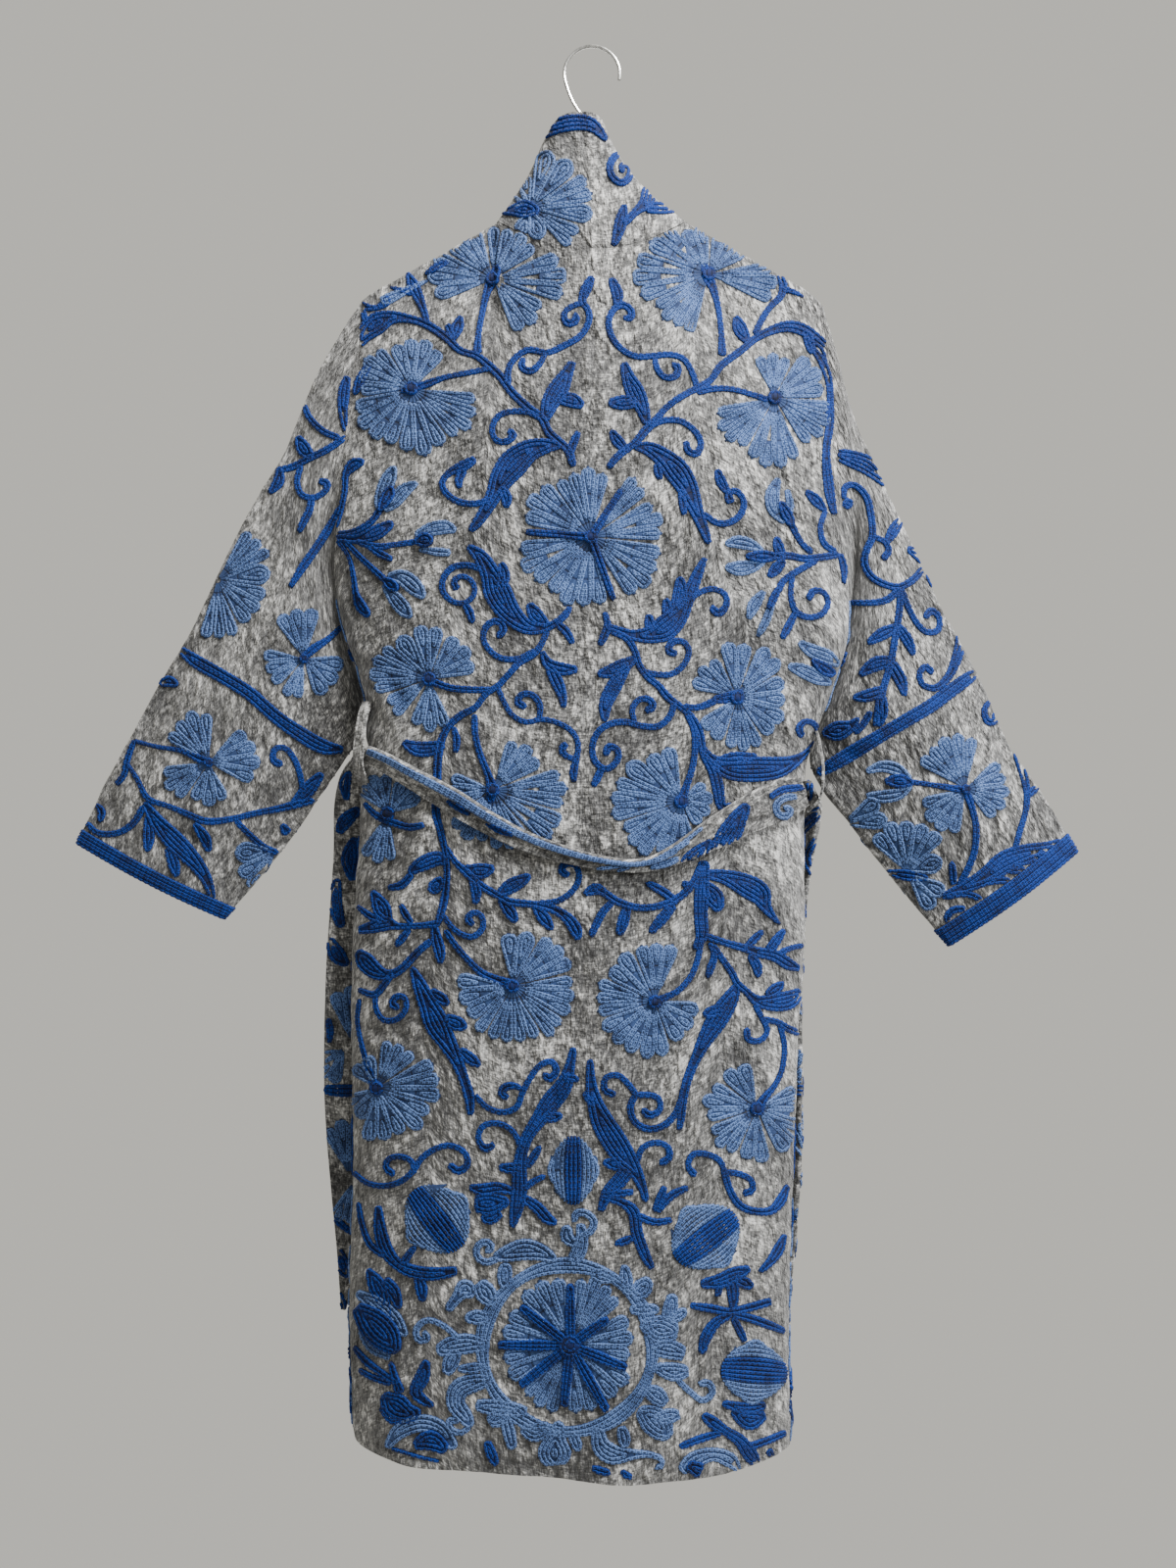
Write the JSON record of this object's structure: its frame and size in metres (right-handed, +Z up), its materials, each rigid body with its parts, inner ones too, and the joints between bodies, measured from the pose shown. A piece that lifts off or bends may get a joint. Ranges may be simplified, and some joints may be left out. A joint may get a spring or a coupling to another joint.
{
  "type": "embroidered kimono robe on a wire hanger",
  "caption": "Open-fronted kimono-cut robe in heather cloth with overall chain-stitch embroidery, stand collar and loose cloth belt, hung on a wire hanger.",
  "frame": {"origin": "inner top of the hanger hook's crown, where the hook rests on a peg", "axes": "+Z up, -Y out of the back of the robe, +X to the right seen from behind the robe"},
  "size_m": [0.9804, 0.1363, 1.3542],
  "materials": {
    "heather_cloth": "matt, heathered wool-like weave",
    "blue_stitch": "matt, dense chain stitch",
    "hanger_wire": "dull galvanised wire"
  },
  "bodies": {
    "root": {"back": "heather_cloth", "collar": "heather_cloth", "front_left": "heather_cloth", "front_right": "heather_cloth", "front_band_left": "heather_cloth", "front_band_right": "heather_cloth", "sleeve_left": "heather_cloth", "sleeve_right": "heather_cloth", "cuff_border_left": "blue_stitch", "cuff_border_right": "blue_stitch", "belt_swag": "heather_cloth", "belt_tail_left": "heather_cloth", "belt_tail_right": "heather_cloth", "belt_loop_left": "heather_cloth", "belt_loop_right": "heather_cloth", "hanger_hook": "hanger_wire", "hanger_neck": "hanger_wire", "hanger_frame": "hanger_wire"}
  },
  "joints": []
}
